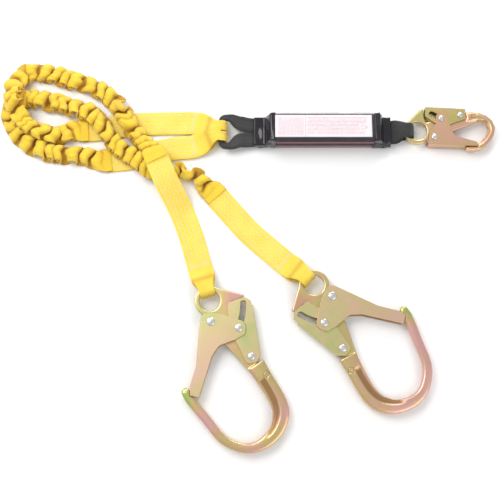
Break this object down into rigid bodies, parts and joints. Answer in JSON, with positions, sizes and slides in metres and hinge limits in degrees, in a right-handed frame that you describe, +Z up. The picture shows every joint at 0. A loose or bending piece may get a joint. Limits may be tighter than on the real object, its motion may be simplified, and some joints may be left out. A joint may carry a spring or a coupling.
{
  "type": "shock absorbing lanyard",
  "caption": "Twin-leg stretch webbing lanyard with a sleeved energy absorber, a double-locking snap hook and a large rebar hook on each leg.",
  "frame": {"origin": "middle of the absorber pack, on the surface the lanyard lies on", "axes": "+X along the pack towards the snap hook, +Y across the pack away from the rebar hooks, +Z up from the surface"},
  "size_m": [0.7316, 0.57, 0.0445],
  "materials": {
    "cover_vinyl": "clear vinyl over dark webbing",
    "label_film": "satin",
    "black_webbing": "woven webbing",
    "tear_webbing": "woven webbing, red stitches",
    "yellow_webbing": "woven webbing, pale stitches",
    "yellow_elastic": "gathered tubular webbing",
    "plated_forging": "yellow zinc, iridescent",
    "plated_sheet": "yellow zinc, iridescent",
    "rivet_steel": "domed, satin",
    "spring_steel": "drawn wire"
  },
  "bodies": {
    "absorber": {"absorber_cover": "cover_vinyl", "absorber_label": "label_film", "tear_webbing": "tear_webbing", "snap_end_strap": "black_webbing", "leg_end_strap": "black_webbing", "leg_1_pack_strap": "yellow_webbing", "leg_1_hook_strap": "yellow_webbing", "leg_1_elastic": "yellow_elastic", "leg_2_pack_strap": "yellow_webbing", "leg_2_hook_strap": "yellow_webbing", "leg_2_elastic": "yellow_elastic"},
    "snap_hook": {"snap_hook_body": "plated_forging", "snap_gate_rivet": "rivet_steel", "snap_lever_rivet": "rivet_steel"},
    "snap_hook_gate": {"snap_gate": "plated_sheet", "snap_guide_rivet": "rivet_steel", "snap_gate_spring": "spring_steel"},
    "snap_hook_lever": {"snap_lock_lever": "plated_sheet", "snap_lever_spring": "spring_steel"},
    "rebar_hook_1": {"rebar_1_hook_body": "plated_forging", "rebar_1_gate_rivet": "rivet_steel", "rebar_1_lever_rivet": "rivet_steel"},
    "rebar_hook_1_gate": {"rebar_1_gate": "plated_sheet", "rebar_1_guide_rivet": "rivet_steel", "rebar_1_gate_spring": "spring_steel"},
    "rebar_hook_1_lever": {"rebar_1_lock_lever": "plated_sheet", "rebar_1_lever_spring": "spring_steel"},
    "rebar_hook_2": {"rebar_2_hook_body": "plated_forging", "rebar_2_gate_rivet": "rivet_steel", "rebar_2_lever_rivet": "rivet_steel"},
    "rebar_hook_2_gate": {"rebar_2_gate": "plated_sheet", "rebar_2_guide_rivet": "rivet_steel", "rebar_2_gate_spring": "spring_steel"},
    "rebar_hook_2_lever": {"rebar_2_lock_lever": "plated_sheet", "rebar_2_lever_spring": "spring_steel"}
  },
  "joints": [
    {"name": "snap_hook_swing", "type": "hinge", "parent": "absorber", "child": "snap_hook", "pos_m": [0.12648, 0.001, 0.0109], "axis": [0, 1, 0], "range_deg": [-90, 90]},
    {"name": "snap_hook_gate_hinge", "type": "hinge", "parent": "snap_hook", "child": "snap_hook_gate", "pos_m": [0.16443, -0.01027, 0.0109], "axis": [0, 0, 1], "range_deg": [0, 25], "stiffness_Nm_per_rad": 0.3, "springref_deg": -22.92},
    {"name": "snap_hook_lever_hinge", "type": "hinge", "parent": "snap_hook", "child": "snap_hook_lever", "pos_m": [0.20471, 0.02473, 0.0109], "axis": [0, 0, 1], "range_deg": [0, 7.6]},
    {"name": "rebar_hook_1_swing", "type": "hinge", "parent": "absorber", "child": "rebar_hook_1", "pos_m": [-0.16855, -0.23861, 0.0109], "axis": [0.9563, 0.2924, 0], "range_deg": [-90, 90]},
    {"name": "rebar_hook_1_gate_hinge", "type": "hinge", "parent": "rebar_hook_1", "child": "rebar_hook_1_gate", "pos_m": [-0.162, -0.28353, 0.0109], "axis": [0, 0, 1], "range_deg": [0, 48], "stiffness_Nm_per_rad": 0.3, "springref_deg": -22.92},
    {"name": "rebar_hook_1_lever_hinge", "type": "hinge", "parent": "rebar_hook_1", "child": "rebar_hook_1_lever", "pos_m": [-0.10515, -0.33187, 0.0109], "axis": [0, 0, 1], "range_deg": [0, 10]},
    {"name": "rebar_hook_2_swing", "type": "hinge", "parent": "absorber", "child": "rebar_hook_2", "pos_m": [-0.02757, -0.21999, 0.0109], "axis": [0.6691, 0.7431, 0], "range_deg": [-90, 90]},
    {"name": "rebar_hook_2_gate_hinge", "type": "hinge", "parent": "rebar_hook_2", "child": "rebar_hook_2_gate", "pos_m": [0.009, -0.24715, 0.0109], "axis": [0, 0, -1], "range_deg": [0, 48], "stiffness_Nm_per_rad": 0.3, "springref_deg": -22.92},
    {"name": "rebar_hook_2_lever_hinge", "type": "hinge", "parent": "rebar_hook_2", "child": "rebar_hook_2_lever", "pos_m": [0.02244, -0.32055, 0.0109], "axis": [0, 0, -1], "range_deg": [0, 10]}
  ],
  "couplings": [
    {"joint": "snap_hook_lever_hinge", "follows": "snap_hook_gate_hinge", "ratio": 0.304},
    {"joint": "rebar_hook_1_lever_hinge", "follows": "rebar_hook_1_gate_hinge", "ratio": 0.20833},
    {"joint": "rebar_hook_2_lever_hinge", "follows": "rebar_hook_2_gate_hinge", "ratio": 0.20833}
  ]
}
